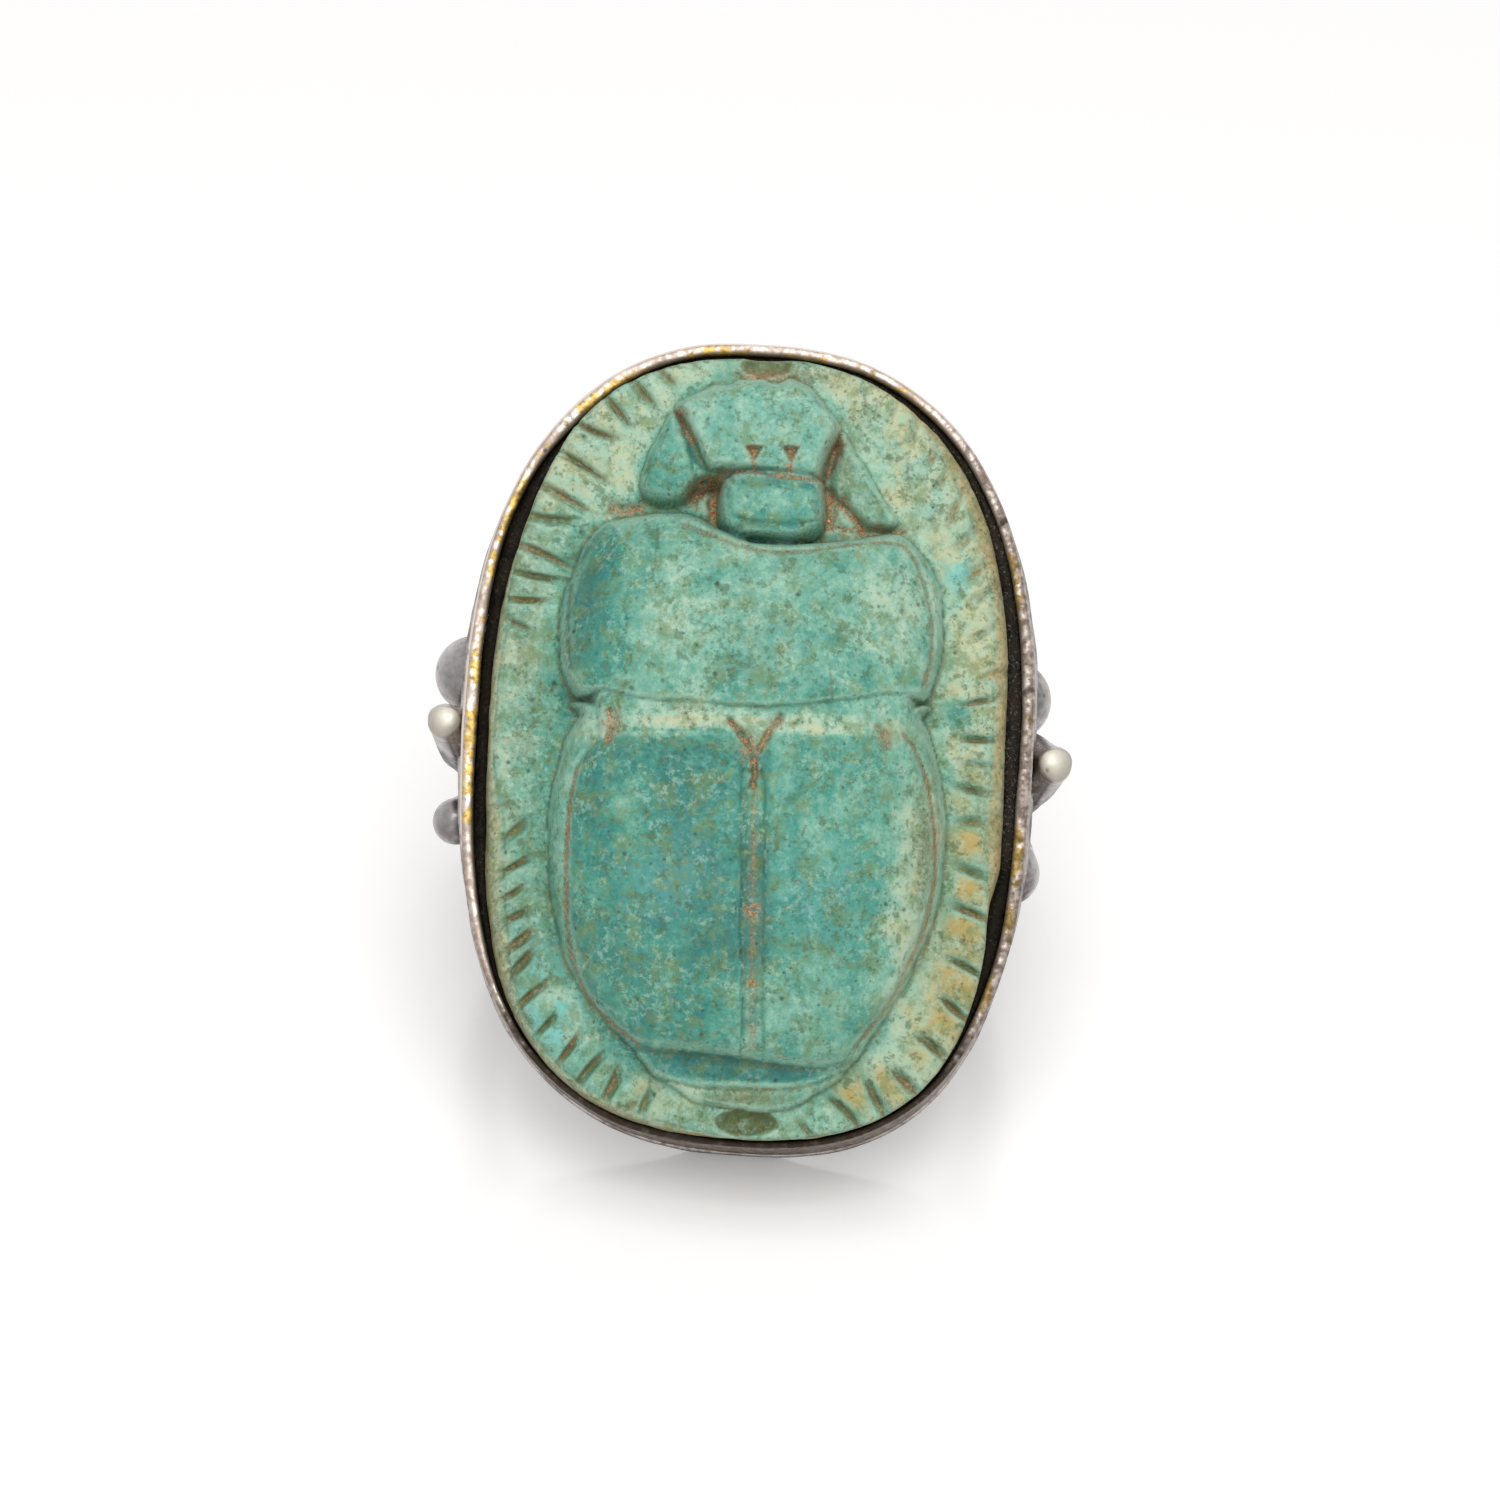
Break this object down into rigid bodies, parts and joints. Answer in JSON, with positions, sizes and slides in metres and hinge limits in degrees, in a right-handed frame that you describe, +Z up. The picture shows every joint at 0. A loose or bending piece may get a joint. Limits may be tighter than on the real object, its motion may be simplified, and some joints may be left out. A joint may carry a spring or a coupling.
{
  "type": "scarab ring",
  "caption": "Finger ring with a carved, glazed scarab set in pitch in a tall oval box bezel, on a D-section hoop with bud and petal shoulders, leaning back on its bezel's end.",
  "frame": {"origin": "on the table, under the middle of the ring's box, as the ring stands in the picture", "axes": "+Z up; +X across the finger, to the right in the picture; +Y away from the viewer, so the face leans back towards -Y and up"},
  "size_m": [0.0218, 0.0278, 0.0257],
  "materials": {
    "glazed_steatite": "worn turquoise glaze, pale in the border, dirt in the cuts",
    "black_pitch": "gritty black setting pitch",
    "worn_silver_gilt": "silver with gilding left in patches",
    "tarnished_silver": "silver with a soft grey tarnish",
    "polished_silver": "silver, rubbed bright on the high places"
  },
  "bodies": {
    "root": {"scarab": "glazed_steatite", "pitch_bed": "black_pitch", "bezel_wall": "worn_silver_gilt", "bezel_base_plate": "tarnished_silver", "shank_hoop": "tarnished_silver", "left_shoulder": "tarnished_silver", "right_shoulder": "tarnished_silver", "left_bud": "polished_silver", "right_bud": "polished_silver", "left_upper_petal": "polished_silver", "left_lower_petal": "polished_silver", "right_upper_petal": "polished_silver", "right_lower_petal": "polished_silver"}
  },
  "joints": []
}
